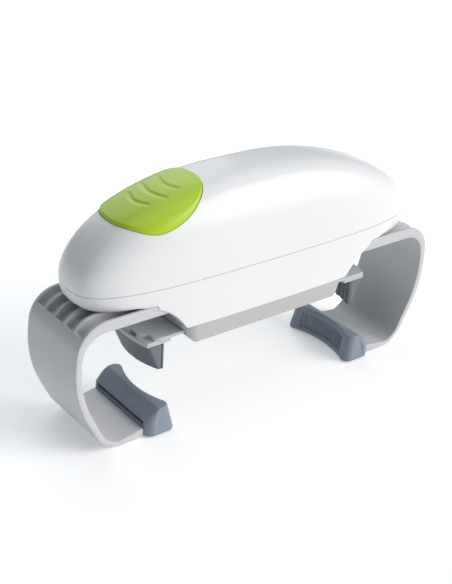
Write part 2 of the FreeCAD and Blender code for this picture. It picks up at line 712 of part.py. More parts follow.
def pocketTool(low, width):
    """Tool for one pocket: flat along the plate, then concentric with the shoulder."""
    centre, radius = shoulderCentre()
    deep, clear = radius - size("pocket_depth"), radius + size("pocket_depth")

    def on(distance, degrees):
        turn = math.radians(degrees)
        return centre + Vector(distance * math.cos(turn), 0, distance * math.sin(turn))

    start, end = 90, 90 - size("pocket_sweep")
    corners = [on(deep, end), on(clear, end), Vector(on(clear, end).x, 0, on(clear, start).z),
               Vector(size("pocket_inner"), 0, on(clear, start).z),
               Vector(size("pocket_inner"), 0, on(deep, start).z), on(deep, start)]
    edges = [Part.LineSegment(first, second).toShape() for first, second in zip(corners, corners[1:])]
    edges.append(Part.Arc(on(deep, start), on(deep, (start + end) / 2), on(deep, end)).toShape())
    face = Part.Face(Part.Wire(edges))
    face.translate(Vector(0, low, 0))
    return face.extrude(Vector(0, width, 0))


def buildArm():
    outer = [(size("plate_inner"), size("arm_top")), (size("arm_shoulder"), size("arm_top")),
             (size("arm_elbow"), size("elbow_height")), (size("arm_heel"), 0), (size("arm_end"), 0)]
    radii = [0, size("shoulder_radius"), size("elbow_radius"), size("heel_radius"), 0]
    wall = size("arm_wall")
    inner = insetLine(outer, [-size("arm_plate"), -wall, -wall, -size("foot_wall")])
    inner[-1] = Vector(size("arm_end"), size("arm_end_wall"), 0)
    outline = [(x, z, radius) for (x, z), radius in zip(outer, radii)]
    outline += [(corner.x, corner.y, max(radius - wall, 0))
                for corner, radius in zip(reversed(inner), reversed(radii))]
    arm = uprightPrism(outline, size("arm_half"))
    count, rib = int(size("pocket_count")), size("pocket_rib")
    width = (size("arm_width") - rib * (count + 1)) / count
    for k in range(count):
        arm = arm.cut(pocketTool(rib + k * (width + rib) - size("arm_half"), width))
    depth = size("pocket_depth")
    return arm.fuse(Part.makeBox(rib * 0.8, width, depth, Vector(shoulderCentre()[0].x - depth, -width / 2,
                                                                 size("arm_top") - depth * 1.5)))


armTongue = box("plate_tongue", "tongue_inner", "plate_inner", "-tongue_half", "tongue_half",
                "arm_underside", "arm_top")
footTongue = box("foot_tongue_block", "arm_end - foot_tongue", "arm_end", "-foot_tongue_width/2",
                 "foot_tongue_width/2", "1.2", "foot_tongue_thickness + 1.2")
rightArm = piece("right_arm", fuse("right_arm_shape",
                                   [solid("arm_profile", buildArm()), armTongue, footTongue]))
mirrored("left_arm", rightArm)


def padOutline(tip, middle, half, nose, height):
    """Plan of the pad at one height: a concave arc towards the jar, rounded ends, a straight back."""
    reach, back, near = half - nose, size("arm_end"), nose * 0.3

    def arc(*points):
        return Part.Arc(*[Vector(x, y, height) for x, y in points]).toShape()

    def line(*points):
        return Part.LineSegment(*[Vector(x, y, height) for x, y in points]).toShape()

    return Part.Wire([
        arc((tip, -reach), (middle, 0), (tip, reach)),
        arc((tip, reach), (tip + near, half - near), (tip + nose, half)),
        line((tip + nose, half), (back - nose, half)),
        arc((back - nose, half), (back - near, half - near), (back, reach)),
        line((back, reach), (back, -reach)),
        arc((back, -reach), (back - near, near - half), (back - nose, -half)),
        line((back - nose, -half), (tip + nose, -half)),
        arc((tip + nose, -half), (tip + near, near - half), (tip, -reach))])


def buildPad():
    """Rubber jar pad: a leaning, concave, ribbed face towards the jar and a slot behind its crest."""
    tip, middle, half = size("pad_tip"), size("pad_middle"), size("pad_length") / 2
    back, low, tall, lean = size("arm_end"), size("pad_lift"), size("pad_height"), size("pad_lean")
    nose = size("pad_nose")
    block = Part.makeLoft([padOutline(tip, middle, half, nose, low),
                           padOutline(tip + lean, middle + lean, half - size("pad_draft"), nose, low + tall)],
                          True, True)
    crest = middle + lean
    side = uprightPrism([(tip - 2, low, 0), (tip - 2, tall, 0), (crest, tall, 6),
                         (back - 1, size("pad_back_height"), 2.5), (back, low + 1, 0.8), (back, low, 0)],
                        half + 1)
    block = block.common(side)
    reach = half - nose
    radius = (reach ** 2 + (middle - tip) ** 2) / (2 * (middle - tip))
    count, slope = int(size("pad_ribs")), Vector(lean, 0, tall)
    for k in range(count + 1):
        angle = (k / count - 0.5) * 2 * math.asin(reach / radius) * 0.9
        foot = Vector(middle - radius + radius * math.cos(angle), radius * math.sin(angle), low)
        block = block.cut(Part.makeCylinder(size("pad_rib_depth"), tall * 0.7, foot + slope * 0.12, slope))
    recess = Part.makeBox(size("recess_width"), size("pad_length") - 2 * size("recess_end"),
                          size("recess_height"), Vector(back - size("recess_width"),
                                                        size("recess_end") - half, size("recess_floor")))
    return block.cut(recess)


rightPadSolid = solid("pad_block", buildPad())
rightPad = piece("right_jar_pad", cut("right_jar_pad_shape", rightPadSolid, [
    box("pad_socket", "arm_end - foot_tongue", "arm_end", "-foot_tongue_width/2",
        "foot_tongue_width/2", "1.2", "foot_tongue_thickness + 1.2")]))
mirrored("left_jar_pad", rightPad)

rackReach = "plate_inner - 4"
armRackBar = rackSolid(-size("rack_overrun"), number(rackReach),
                       size("arm_travel") + size("rack_overrun") + size("rack_pitch_radius") / 2,
                       size("rack_bottom"), size("rack_top"))
armRackFoot = Part.makeBox(number(rackReach) - size("tongue_inner"),
                           size("rack_outer") - size("rack_pitch_radius") - toothRoot * size("rack_module"),
                           size("rack_bottom") - size("arm_top"),
                           Vector(size("tongue_inner"), -size("rack_outer"), size("arm_top")))
piece("right_arm_rack", solid("right_arm_rack_shape", armRackBar.fuse(armRackFoot)))
piece("left_arm_rack", halfTurn(solid("left_arm_rack_shape", armRackBar.fuse(armRackFoot))))

# ---------------------------------------------------------------- lid jaws

def arcRegion(cornerX, bulge, innerX, innerBulge, half, height):
    """Closed wire between two arcs across Y: outer through cornerX, inner through innerX."""
    corners = [Vector(x, y, height) for x, y in (
        (cornerX, -half), (cornerX, half), (innerX, half), (innerX, -half))]
    outer = Part.Arc(corners[0], Vector(cornerX + bulge, 0, height), corners[1])
    inner = Part.Arc(corners[2], Vector(innerX + innerBulge, 0, height), corners[3])
    sides = [Part.LineSegment(corners[1], corners[2]), Part.LineSegment(corners[3], corners[0])]
    return Part.Wire([edge.toShape() for edge in (outer, sides[0], inner, sides[1])])


def buildFlange():
    half, inner = size("flange_half_width"), size("flange_inner")
    edge = arcRegion(size("flange_corner"), size("flange_bulge"), inner, 0.01, half, size("flange_bottom"))
    return Part.Face(edge).extrude(Vector(0, 0, size("flange_thickness")))


def buildLidJaw():
    """Sliding plate on a flange, joined by an outer wall with two windows and a scoop at one end."""
    half, narrow, outer = size("jaw_half_width"), size("flange_half_width"), size("jaw_plate_outer")
    low, high, under = size("jaw_plate_bottom"), size("jaw_plate_top"), size("flange_top")
    scoop, bulge = size("scoop_end"), size("flange_bulge")
    edge = outer - size("flange_gap") * 6
    inner = size("jaw_plate_inner")
    plate = flatPrism([(inner, -half, 0), (outer, -half, 1.5), (outer + bulge, 2 - scoop, 4),
                       (outer + bulge, scoop - 2.5, 2.5), (edge, scoop, 2), (edge, half, 3.5),
                       (inner, half, 0)], low, high)
    inset = size("scoop_depth")
    wall = flatPrism([(size("flange_inner"), -17, 0), (outer - 8, -17, 0), (outer - 8, -narrow, 0),
                      (outer, -narrow, 1.5), (outer + bulge, 2 - scoop, 4), (outer + bulge + 0.6, 0, 40),
                      (outer + bulge, scoop - 2.5, 2.5), (outer - inset, scoop, 3), (outer - inset, 17, 0.5),
                      (size("flange_inner"), 17, 0)], under, low)
    jaw = plate.fuse([wall, buildFlange()])
    width, middle = size("window_width"), size("window_centre")
    for y in (-middle, middle):
        jaw = jaw.cut(Part.makeBox(inset * 2, width, size("window_height"),
                                   Vector(outer - inset / 2, y - width / 2, under)))
    return jaw


def blockOutline(corner, bulge, half, nose, height):
    """Plan of the rubber block at one height: bulging outwards, hollow towards the lid."""
    inner, hollow = size("jaw_face") + size("grip_wall"), size("jaw_face_bulge")
    reach, near = half - nose, nose * 0.3

    def arc(*points):
        return Part.Arc(*[Vector(x, y, height) for x, y in points]).toShape()

    def line(*points):
        return Part.LineSegment(*[Vector(x, y, height) for x, y in points]).toShape()

    return Part.Wire([
        arc((corner, -reach), (corner + bulge, 0), (corner, reach)),
        arc((corner, reach), (corner - near, half - near), (corner - nose, half)),
        line((corner - nose, half), (inner, half)),
        arc((inner, half), (inner + hollow, 0), (inner, -half)),
        line((inner, -half), (corner - nose, -half)),
        arc((corner - nose, -half), (corner - near, near - half), (corner, -reach))])


def buildJawBlock():
    half, nose = size("flange_half_width"), size("block_nose")
    top = blockOutline(size("flange_corner"), size("flange_bulge"), half, nose, size("flange_bottom"))
    bottom = blockOutline(size("jaw_foot"), size("jaw_face_bulge"), half, nose * 0.4, size("jaw_bottom"))
    return Part.makeLoft([top, bottom], True, True)


def buildJawGrip():
    half, wall, face = size("flange_half_width"), size("grip_wall"), size("jaw_face")
    bulge, low = size("jaw_face_bulge"), size("jaw_bottom")
    tall = size("flange_bottom") - low
    region = arcRegion(face + wall, bulge, face, bulge, half, low)
    grip = Part.Face(region).extrude(Vector(0, 0, tall))
    radius = (half ** 2 + bulge ** 2) / (2 * bulge)
    reach, count = math.asin(half / radius), int(size("grip_ribs"))
    for k in range(count):
        angle = (2 * (k + 0.5) / count - 1) * reach
        x, y = face + bulge - radius + radius * math.cos(angle), radius * math.sin(angle)
        grip = grip.cut(Part.makeCylinder(wall * 0.6, tall, Vector(x, y, low)))
    return grip


lidJaw, jawBlock, jawGrip = buildLidJaw(), buildJawBlock(), buildJawGrip()
for side, turned in (("right", False), ("left", True)):
    for label, shape in (("lid_jaw", lidJaw), ("jaw_block", jawBlock), ("jaw_grip", jawGrip)):
        thing = piece(f"{side}_{label}", solid(f"{side}_{label}_shape", shape))
        if turned:
            halfTurn(thing)

jawRackEnd = size("jaw_plate_inner") + 4
jawToothEnd = size("jaw_travel") + size("rack_overrun") + size("rack_pitch_radius") / 2
jawRackBar = rackSolid(-size("rack_overrun"), jawRackEnd, min(jawRackEnd, jawToothEnd),
                       size("jaw_rack_bottom"), size("jaw_rack_top"))
jawRackFoot = Part.makeBox(jawRackEnd - size("jaw_plate_inner"),
                           size("rack_outer") - size("rack_pitch_radius") - toothRoot * size("rack_module"),
                           size("jaw_fit"),
                           Vector(size("jaw_plate_inner"), -size("rack_outer"), size("jaw_plate_top")))
piece("right_jaw_rack", solid("right_jaw_rack_shape", jawRackBar.fuse(jawRackFoot)))
piece("left_jaw_rack", halfTurn(solid("left_jaw_rack_shape", jawRackBar.fuse(jawRackFoot))))

# ---------------------------------------------------------------- rotor that carries the jaws

rotorBody = doc.addObject("PartDesign::Body", "rotor_body")
rotorOutline = sketchOn(rotorBody, "XY_Plane", "rotor_outline")
sketchPolygon(rotorOutline, rectangle("-rotor_half_length", "rotor_half_length",
                                      "-rotor_half_width", "rotor_half_width"))
pad(rotorBody, rotorOutline, "rotor_depth", "rotor_pad", "rotor_taper")
doc.recompute()
roundCorners(rotorBody, "rotor_corners",
             uprightEdges(rotorBody.Shape, size("rotor_half_length") - 1, size("rotor_half_width") - 1),
             "rotor_corner")
bind(rotorBody, at_z="rotor_bottom")
doc.recompute()


def rotorEnds():
    """Side view of the rotor: its ends rise from the foot and turn upright at the shoulder."""
    reach, foot = size("rotor_half_length") + size("turn_gap") * 3, size("rotor_foot")
    low, high = size("rotor_bottom"), size("rotor_top")
    half = [(reach, high + 1, 0), (reach, size("rotor_shoulder"), 5), (foot, low, 2)]
    return uprightPrism(half + [(-x, z, radius) for x, z, radius in reversed(half)],
                        size("jaw_half_width") * 2)


rotorBlank = common("rotor_blank", rotorBody, solid("rotor_ends", rotorEnds()))
farEnd = "rotor_half_length + rotor_depth"
rotorCuts = [
    box("rail_gap", "-rotor_half_length - rotor_depth", farEnd, "-lip_half", "lip_half",
        "rotor_bottom - turn_gap", "groove_bottom"),
    box("rail_groove", "-rotor_half_length - rotor_depth", farEnd, "-groove_half", "groove_half",
        "groove_bottom", "groove_top"),
    box("rack_bay", "-bay_half_length", "bay_half_length", "-rack_outer - 1", "rack_outer + 1",
        "groove_top", "rotor_ceiling"),
    cylinder("rotor_shaft_bore", "0", "0", "rotor_ceiling", "rotor_top", "shaft_radius + run_fit"),
]
hubScrews = [("hub_screw_circle", "0"), ("-hub_screw_circle", "0"), ("0", "hub_screw_circle"),
             ("0", "-hub_screw_circle")]
for index, (x, y) in enumerate(hubScrews):
    rotorCuts.append(cylinder(f"rotor_screw_bore_{index}", x, y, "rotor_ceiling", "rotor_top",
                              "screw_radius"))
piece("rotor_frame", cut("rotor_frame_shape", rotorBlank, rotorCuts))


def drilledDisc(label, bottom, top, radius, bore, holes):
    tools = [cylinder(label + "_bore", "0", "0", bottom, top, bore)]
    for index, (x, y) in enumerate(holes):
        tools.append(cylinder(f"{label}_hole_{index}", x, y, bottom, top, "screw_radius"))
    disc = cylinder(label + "_disc", "0", "0", bottom, top, radius)
    return piece(label, cut(label + "_shape", disc, tools))


drilledDisc("rotor_hub", "rotor_top", "ring_bottom", "hub_radius", "shaft_radius + run_fit", hubScrews)
drilledDisc("rotor_ring", "ring_bottom", "ring_top", "ring_radius", "shaft_radius + run_fit", hubScrews)


def screw(name, x, y, tip, seat):
    """Pan-head screw standing upright: shank from tip to seat, head above."""
    shank = cylinder(name + "_shank", x, y, tip, seat, "screw_radius")
    head = cylinder(name + "_head", x, y, seat, f"{seat} + screw_head_height", "screw_head_radius")
    return fuse(name, [shank, head])


piece("hub_screws", group("hub_screw_group", [screw(f"hub_screw_{index}", x, y, "rotor_ceiling", "ring_top")
                                              for index, (x, y) in enumerate(hubScrews)]))

# ---------------------------------------------------------------- drive: pinions, clutches, gears

jawPinion = gearSolid(int(size("rack_teeth")), size("rack_module"), 0, size("jaw_rack_bottom"),
                      size("jaw_rack_top"), size("shaft_radius"))
piece("jaw_pinion", solid("jaw_pinion_shape", jawPinion))
piece("jaw_shaft", cylinder("jaw_shaft_rod", "0", "0", "jaw_rack_bottom", "shaft_top", "shaft_radius"))
piece("jaw_clutch_plate", ring("jaw_clutch_shape", "0", "0", "upper_clutch_bottom", "shaft_top",
                               "clutch_radius", "shaft_radius"))
armPinionGear = solid("arm_pinion_gear", gearSolid(int(size("rack_teeth")), size("rack_module"), 0,
                                                   size("rack_bottom"), size("rack_top"), 0))
armSleeve = cylinder("arm_sleeve", "0", "0", "rack_top", "washer_bottom", "sleeve_radius")
piece("arm_pinion", cut("arm_pinion_shape", fuse("arm_pinion_blank", [armPinionGear, armSleeve]),
                        [cylinder("arm_pinion_bore", "0", "0", "rack_bottom", "washer_bottom",
                                  "shaft_radius + run_fit")]))
piece("arm_clutch_plate", ring("arm_clutch_shape", "0", "0", "clutch_bottom", "washer_bottom",
                               "clutch_radius", "sleeve_radius"))
piece("arm_friction_washer", ring("arm_washer_shape", "0", "0", "washer_bottom", "main_bottom",
                                  "clutch_radius", "shaft_radius + run_fit"))
piece("jaw_friction_washer", ring("jaw_washer_shape", "0", "0", "main_top", "upper_clutch_bottom",
                                  "clutch_radius", "shaft_radius"))

module, mainTeeth = size("gear_module"), int(size("main_teeth"))
wheelTeeth, pinionTeeth = int(size("wheel_teeth")), int(size("pinion_teeth"))
stage = module * (wheelTeeth + pinionTeeth) / 2
swing = math.radians(size("train_angle"))
thirdAt = Vector(-module * (mainTeeth + pinionTeeth) / 2, 0, 0)
secondAt = thirdAt + Vector(math.cos(swing), math.sin(swing), 0) * stage
firstAt = secondAt + Vector(math.cos(swing), -math.sin(swing), 0) * stage
motorAt = firstAt + Vector(stage, 0, 0)
running = size("axle_radius") + size("run_fit")


def placed(label, shape, at):
    """A computed sub-part whose placement puts it on its axis."""
    thing = piece(label, solid(label + "_shape", shape))
    thing.Placement = Placement(at, Rotation())
    return thing


def compoundGear(smallPhase, smallLow, smallHigh, bigLow, bigHigh):
    small = gearSolid(pinionTeeth, module, smallPhase, smallLow, smallHigh, running)
    wheel = gearSolid(wheelTeeth, module, 0, bigLow, bigHigh, running)
    return small.fuse([wheel, gearCollar(smallHigh, bigLow)])


def gearCollar(low, high):
    radius = module * pinionTeeth / 2 - toothRoot * module
    collar = Part.makeCylinder(radius, high - low, Vector(0, 0, low))
    return collar.cut(Part.makeCylinder(running, high - low, Vector(0, 0, low)))


face = size("wheel_face")
two, three, four = size("layer_two"), size("layer_three"), size("layer_four")
mainGear = gearSolid(mainTeeth, module, 0, size("main_bottom"), size("main_top"),
                     size("shaft_radius") + size("run_fit"))
placed("main_gear", mainGear, Vector(0, 0, 0))
placed("third_gear", compoundGear(meshPhase(math.pi, 0, mainTeeth, pinionTeeth), size("main_bottom"),
                                  size("main_top"), two, two + face), thirdAt)
placed("second_gear", compoundGear(meshPhase(swing, 0, wheelTeeth, pinionTeeth), two, two + face,
                                   three, three + face), secondAt)
placed("first_gear", compoundGear(meshPhase(-swing, 0, wheelTeeth, pinionTeeth), three, three + face,
                                  four, four + face), firstAt)
placed("motor_pinion", gearSolid(pinionTeeth, module, meshPhase(0, 0, wheelTeeth, pinionTeeth), four,
                                 four + face, size("motor_shaft_radius")), motorAt)


def rod(radius, low, high, at=Vector(0, 0, 0)):
    return Part.makeCylinder(radius, high - low, at + Vector(0, 0, low))


top = size("upper_frame_top")
placed("motor_shaft", rod(size("motor_shaft_radius"), four, top + 6), motorAt)
casing = rod(size("motor_radius"), top, size("motor_top"))
placed("motor_can", casing.cut(rod(size("motor_shaft_radius") + size("run_fit"), top, top + 7)), motorAt)
placed("motor_end_cap", rod(size("motor_radius") * 0.92, size("motor_top"), size("motor_top") + 1.6), motorAt)

axles = [rod(size("axle_radius"), size("frame_bottom"), top, thirdAt),
         rod(size("axle_radius"), two, top, secondAt), rod(size("axle_radius"), three, top, firstAt)]
piece("gear_axles", solid("gear_axles_shape", Part.makeCompound(axles)))

plateCorners = rectangle("-frame_left", "frame_right", "-frame_half_width", "frame_half_width")
frameScrews = [(f"{side}ledge_reach", f"{row}frame_screw_spread") for side in ("-", "") for row in ("-", "")]


def gearPlate(label, bottom, bores):
    """Gear plate: the bored outline is padded, then drilled for axles whose centres are computed."""
    body = plateShape(label + "_blank", plateCorners, bottom, "frame_plate",
                      [(x, y, "screw_radius") for x, y in frameScrews], "frame_corner")
    low, high = number(bottom) - 1, number(bottom) + size("frame_plate") + 1
    tools = solid(label + "_axle_bores",
                  Part.makeCompound([rod(radius, low, high, at) for at, radius in bores]))
    return piece(label, cut(label + "_shape", body, [tools]))


axle = size("axle_radius")
gearPlate("lower_gear_plate", "frame_bottom", [(Vector(0, 0, 0), size("sleeve_radius") + size("run_fit")),
                                               (thirdAt, axle)])
gearPlate("upper_gear_plate", "upper_frame_bottom", [(thirdAt, axle), (secondAt, axle), (firstAt, axle),
                                                     (motorAt, size("motor_shaft_radius") + 1)])
pillars = [(f"{x}", f"{row}pillar_spread") for x in ("-pillar_left", "pillar_right") for row in ("-", "")]
piece("gear_pillars", group("gear_pillar_group", [
    cylinder(f"gear_pillar_{index}", x, y, "frame_top", "upper_frame_bottom", "pillar_radius")
    for index, (x, y) in enumerate(pillars)]))
piece("gear_plate_screws", group("gear_plate_screw_group", [
    screw(f"gear_plate_screw_{index}", x, y, "lobe_underside", "frame_top")
    for index, (x, y) in enumerate(frameScrews)]))

# ---------------------------------------------------------------- circuit board, switch, button

boardCorners = rectangle("-board_left", "-board_right", "-board_half_width", "board_half_width")
piece("circuit_board", plateShape("circuit_board", boardCorners, "board_height", "board_thickness", []))
switchCase = box("switch_case", "-button_centre - 6.4", "-button_centre + 6.4", "-3.25", "3.25",
                 "board_top", "switch_top")
switchBore = cylinder("switch_bore", "-button_centre", "0", "switch_top - 3", "switch_top",
                      "plunger_radius + run_fit")
piece("switch_body", cut("switch_body_shape", switchCase, [switchBore]))
piece("switch_plunger", cylinder("switch_plunger_rod", "-button_centre", "0",
                                 "switch_top - 3 + button_travel", "plunger_top", "plunger_radius"))


def buildButton():
    """Cap that follows the dome, with a skirt, a retaining flange, a spring seat and a stem."""
    wall, proud = size("shell_wall"), size("button_proud")
    low, high = size("switch_top"), size("crown") + proud + 5
    depth = wall + 1.7
    upperFace, under, deep = domeSolid(-proud), domeSolid(size("button_wall") - proud), domeSolid(depth)
    outline, core = ellipsePrism(0, low, high), ellipsePrism(-1.6, low, high)
    cap = upperFace.common(outline).cut(under)
    skirt = under.common(outline.cut(core)).cut(deep)
    rimRoom = domeSolid(wall + 0.35)
    flange = rimRoom.common(ellipsePrism(size("button_flange"), low, high).cut(core)).cut(deep)
    centre = Vector(-size("button_centre"), 0, 0)
    stem = rod(size("stem_radius"), size("plunger_top") + 0.05, high, centre)
    seat = rod(size("spring_radius") + 1.2, size("spring_seat"), high, centre)
    seat = seat.cut(rod(size("spring_radius") - 1.2, size("spring_seat"), high, centre))
    posts = stem.fuse(seat).common(under.fuse(upperFace.common(outline)))
    return cap.fuse([skirt, flange, posts]).cut(buttonGrooves(high))


def buttonGrooves(high):
    """Three shallow curved bars across the button for the thumb."""
    width, depth = size("groove_width"), size("groove_depth")
    centre, bars = -size("button_centre"), []
    for shift, reach in ((-9, 8), (0, 10), (9, 8)):
        x = centre + shift
        outer = Part.Arc(Vector(x, -reach, 0), Vector(x - 2.5, 0, 0), Vector(x, reach, 0)).toShape()
        inner = Part.Arc(Vector(x + width, reach, 0), Vector(x + width - 2.5, 0, 0),
                         Vector(x + width, -reach, 0)).toShape()
        ends = [Part.Arc(Vector(x, reach, 0), Vector(x + width / 2, reach + width / 2, 0),
                         Vector(x + width, reach, 0)).toShape(),
                Part.Arc(Vector(x + width, -reach, 0), Vector(x + width / 2, -reach - width / 2, 0),
                         Vector(x, -reach, 0)).toShape()]
        bars.append(Part.Face(Part.Wire([outer, ends[0], inner, ends[1]])).extrude(Vector(0, 0, high)))
    floor = domeSolid(depth - size("button_proud"))
    return Part.makeCompound(bars).cut(floor)


piece("power_button", solid("power_button_shape", buildButton()))


def buildSpring():
    low, high = size("board_top") + size("spring_wire"), size("spring_seat") - size("spring_wire")
    helix = Part.makeHelix((high - low) / size("spring_turns"), high - low, size("spring_radius"))
    section = Part.Wire([Part.Circle(Vector(size("spring_radius"), 0, 0), Vector(0, 1, 0),
                                     size("spring_wire")).toShape()])
    coil = Part.Wire(helix.Edges).makePipeShell([section], True, True)
    coil.translate(Vector(-size("button_centre"), 0, low))
    return coil


piece("button_spring", solid("button_spring_shape", buildSpring()))

housingScrews = []
for index, (side, row) in enumerate((side, row) for side in ("-", "") for row in ("-", "")):
    x, y = f"{side}boss_reach", f"{row}boss_spread"
    seat = "lobe_underside + screw_recess + screw_head_height"
    shank = cylinder(f"housing_shank_{index}", x, y, seat, f"{seat} + screw_length", "screw_radius")
    head = cylinder(f"housing_head_{index}", x, y, "lobe_underside + screw_recess", seat, "screw_head_radius")
    housingScrews.append(fuse(f"housing_screw_{index}", [shank, head]))
piece("housing_screws", group("housing_screw_group", housingScrews))

# ---------------------------------------------------------------- checks and files

doc.recompute()
for thing in doc.Objects:
    if "Invalid" in thing.State or "Error" in thing.State:
        raise RuntimeError(f"{thing.Name} did not recompute: {thing.State}")

os.makedirs("parts", exist_ok=True)
for label, thing in pieces.items():
    shape = thing.Shape
    if shape.isNull() or not shape.isValid() or not shape.Solids:
        raise RuntimeError(f"{label} has no valid shape")
    shape.exportStep(f"parts/{label}.step")
    bounds = shape.optimalBoundingBox(True, False)
    print(f"{label:20s} solids {len(shape.Solids)} volume {shape.Volume:10.1f} "
          f"x {bounds.XMin:7.2f} {bounds.XMax:7.2f} y {bounds.YMin:7.2f} {bounds.YMax:7.2f} "
          f"z {bounds.ZMin:7.2f} {bounds.ZMax:7.2f}")
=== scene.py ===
import json
import math

import bmesh
import bpy
from mathutils import Matrix, Vector


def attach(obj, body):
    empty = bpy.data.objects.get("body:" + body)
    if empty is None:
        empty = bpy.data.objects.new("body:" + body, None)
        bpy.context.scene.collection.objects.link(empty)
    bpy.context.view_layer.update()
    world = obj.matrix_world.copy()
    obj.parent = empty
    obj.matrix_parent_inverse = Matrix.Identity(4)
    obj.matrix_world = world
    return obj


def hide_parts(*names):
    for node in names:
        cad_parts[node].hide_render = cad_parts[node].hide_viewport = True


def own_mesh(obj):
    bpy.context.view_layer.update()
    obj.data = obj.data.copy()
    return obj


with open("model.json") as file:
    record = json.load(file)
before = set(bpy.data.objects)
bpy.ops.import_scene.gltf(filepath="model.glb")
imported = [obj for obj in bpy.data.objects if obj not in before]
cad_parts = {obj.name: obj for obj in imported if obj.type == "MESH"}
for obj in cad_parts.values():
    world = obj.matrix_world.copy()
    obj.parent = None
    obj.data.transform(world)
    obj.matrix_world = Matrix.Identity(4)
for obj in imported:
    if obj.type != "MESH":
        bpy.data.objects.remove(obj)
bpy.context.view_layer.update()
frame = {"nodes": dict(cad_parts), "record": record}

nodes = frame["nodes"]
scene = bpy.context.scene
mm = 0.001  # the sizes below are in millimetres, Blender's are in metres
bpy.ops.object.select_all(action="DESELECT")
print("frame loaded:", len(nodes), "pieces")

# shader maths

class Signal:
    # a socket that adds Math nodes when it meets an operator
    def __init__(self, finish, socket):
        self.finish = finish
        self.socket = socket

    def maths(self, operation, first, second):
        return self.finish.node("ShaderNodeMath", {"operation": operation}, {0: first, 1: second})

    def __add__(self, other): return self.maths("ADD", self, other)
    def __radd__(self, other): return self.maths("ADD", other, self)
    def __sub__(self, other): return self.maths("SUBTRACT", self, other)
    def __rsub__(self, other): return self.maths("SUBTRACT", other, self)
    def __mul__(self, other): return self.maths("MULTIPLY", self, other)
    def __rmul__(self, other): return self.maths("MULTIPLY", other, self)
    def __pow__(self, other): return self.maths("POWER", self, other)


class Finish:
    # one material: its tree, its shader and the one method that adds a node
    def __init__(self, name, **constants):
        self.material = bpy.data.materials.new(name)
        self.material.use_nodes = True
        self.tree = self.material.node_tree
        self.shader = self.tree.nodes["Principled BSDF"]
        for socket, value in constants.items():
            self.shader.inputs[socket.replace("_", " ")].default_value = value
        self.place = self.node("ShaderNodeTexCoord", output="Object")

    def node(self, kind, settings=None, values=None, output=0):
        made = self.tree.nodes.new(kind)
        for name, value in (settings or {}).items():
            setattr(made, name, value)
        for name, value in (values or {}).items():
            self.feed(made.inputs[name], value)
        return Signal(self, made.outputs[output])

    def feed(self, socket, value):
        if isinstance(value, Signal):
            self.tree.links.new(value.socket, socket)
        elif isinstance(value, tuple) and len(value) == 3 and socket.type == "RGBA":
            socket.default_value = (*value, 1)
        else:
            socket.default_value = value

    def set(self, **signals):
        for socket, value in signals.items():
            self.feed(self.shader.inputs[socket.replace("_", " ")], value)
        return self

    def noise(self, scale, detail, rough=0.5, where=None):
        values = {"Vector": where or self.place, "Scale": scale, "Detail": detail, "Roughness": rough}
        return self.node("ShaderNodeTexNoise", None, values)

    def blend(self, factor, first, second):
        return self.node("ShaderNodeMix", {"data_type": "RGBA"}, {0: factor, 6: first, 7: second}, output=2)

    def bumpy(self, height, depth):
        # depth in millimetres
        bump = {"Height": height, "Strength": 1.0, "Distance": depth * mm}
        return self.set(Normal=self.node("ShaderNodeBump", None, bump))


def mouldedPlastic(name, colour, shade, roughness, grain, depth, coat=0.0):
    # moulded plastic: faint flow marks in its colour and a spark-eroded grain
    finish = Finish(name, Coat_Weight=coat, Coat_Roughness=0.16, IOR=1.48)
    flow = finish.noise(45, 2)
    fine = finish.noise(grain, 2, 0.6)
    finish.set(Base_Color=finish.blend(flow, colour, shade), Roughness=roughness + (fine - 0.5) * 0.12)
    return finish.bumpy(fine, depth)


def mouldedRubber(name, colour, bloom, roughness=0.55):
    # rubber: pale bloom in soft patches, a close grain and small pits
    finish = Finish(name, IOR=1.5, Specular_IOR_Level=0.35)
    cloud = finish.noise(90, 4, 0.6)
    fine = finish.noise(2600, 3, 0.65)
    pits = finish.node("ShaderNodeTexVoronoi", None, {"Vector": finish.place, "Scale": 900.0})
    finish.set(Base_Color=finish.blend(cloud ** 1.5, colour, bloom), Roughness=roughness + (cloud - 0.5) * 0.2)
    return finish.bumpy(fine + pits * 0.4, 0.03)


def drawnMetal(name, colour, roughness, along=(1, 1, 14), metallic=1.0):
    # metal: fine drawing lines stretched along one axis
    finish = Finish(name, Metallic=metallic)
    lined = finish.node("ShaderNodeMapping", None, {"Vector": finish.place, "Scale": along})
    lines = finish.noise(320, 4, 0.6, lined)
    tint = tuple(value * 0.78 for value in colour)
    finish.set(Base_Color=finish.blend(lines, colour, tint), Roughness=roughness + (lines - 0.5) * 0.2)
    return finish.bumpy(lines, 0.01)


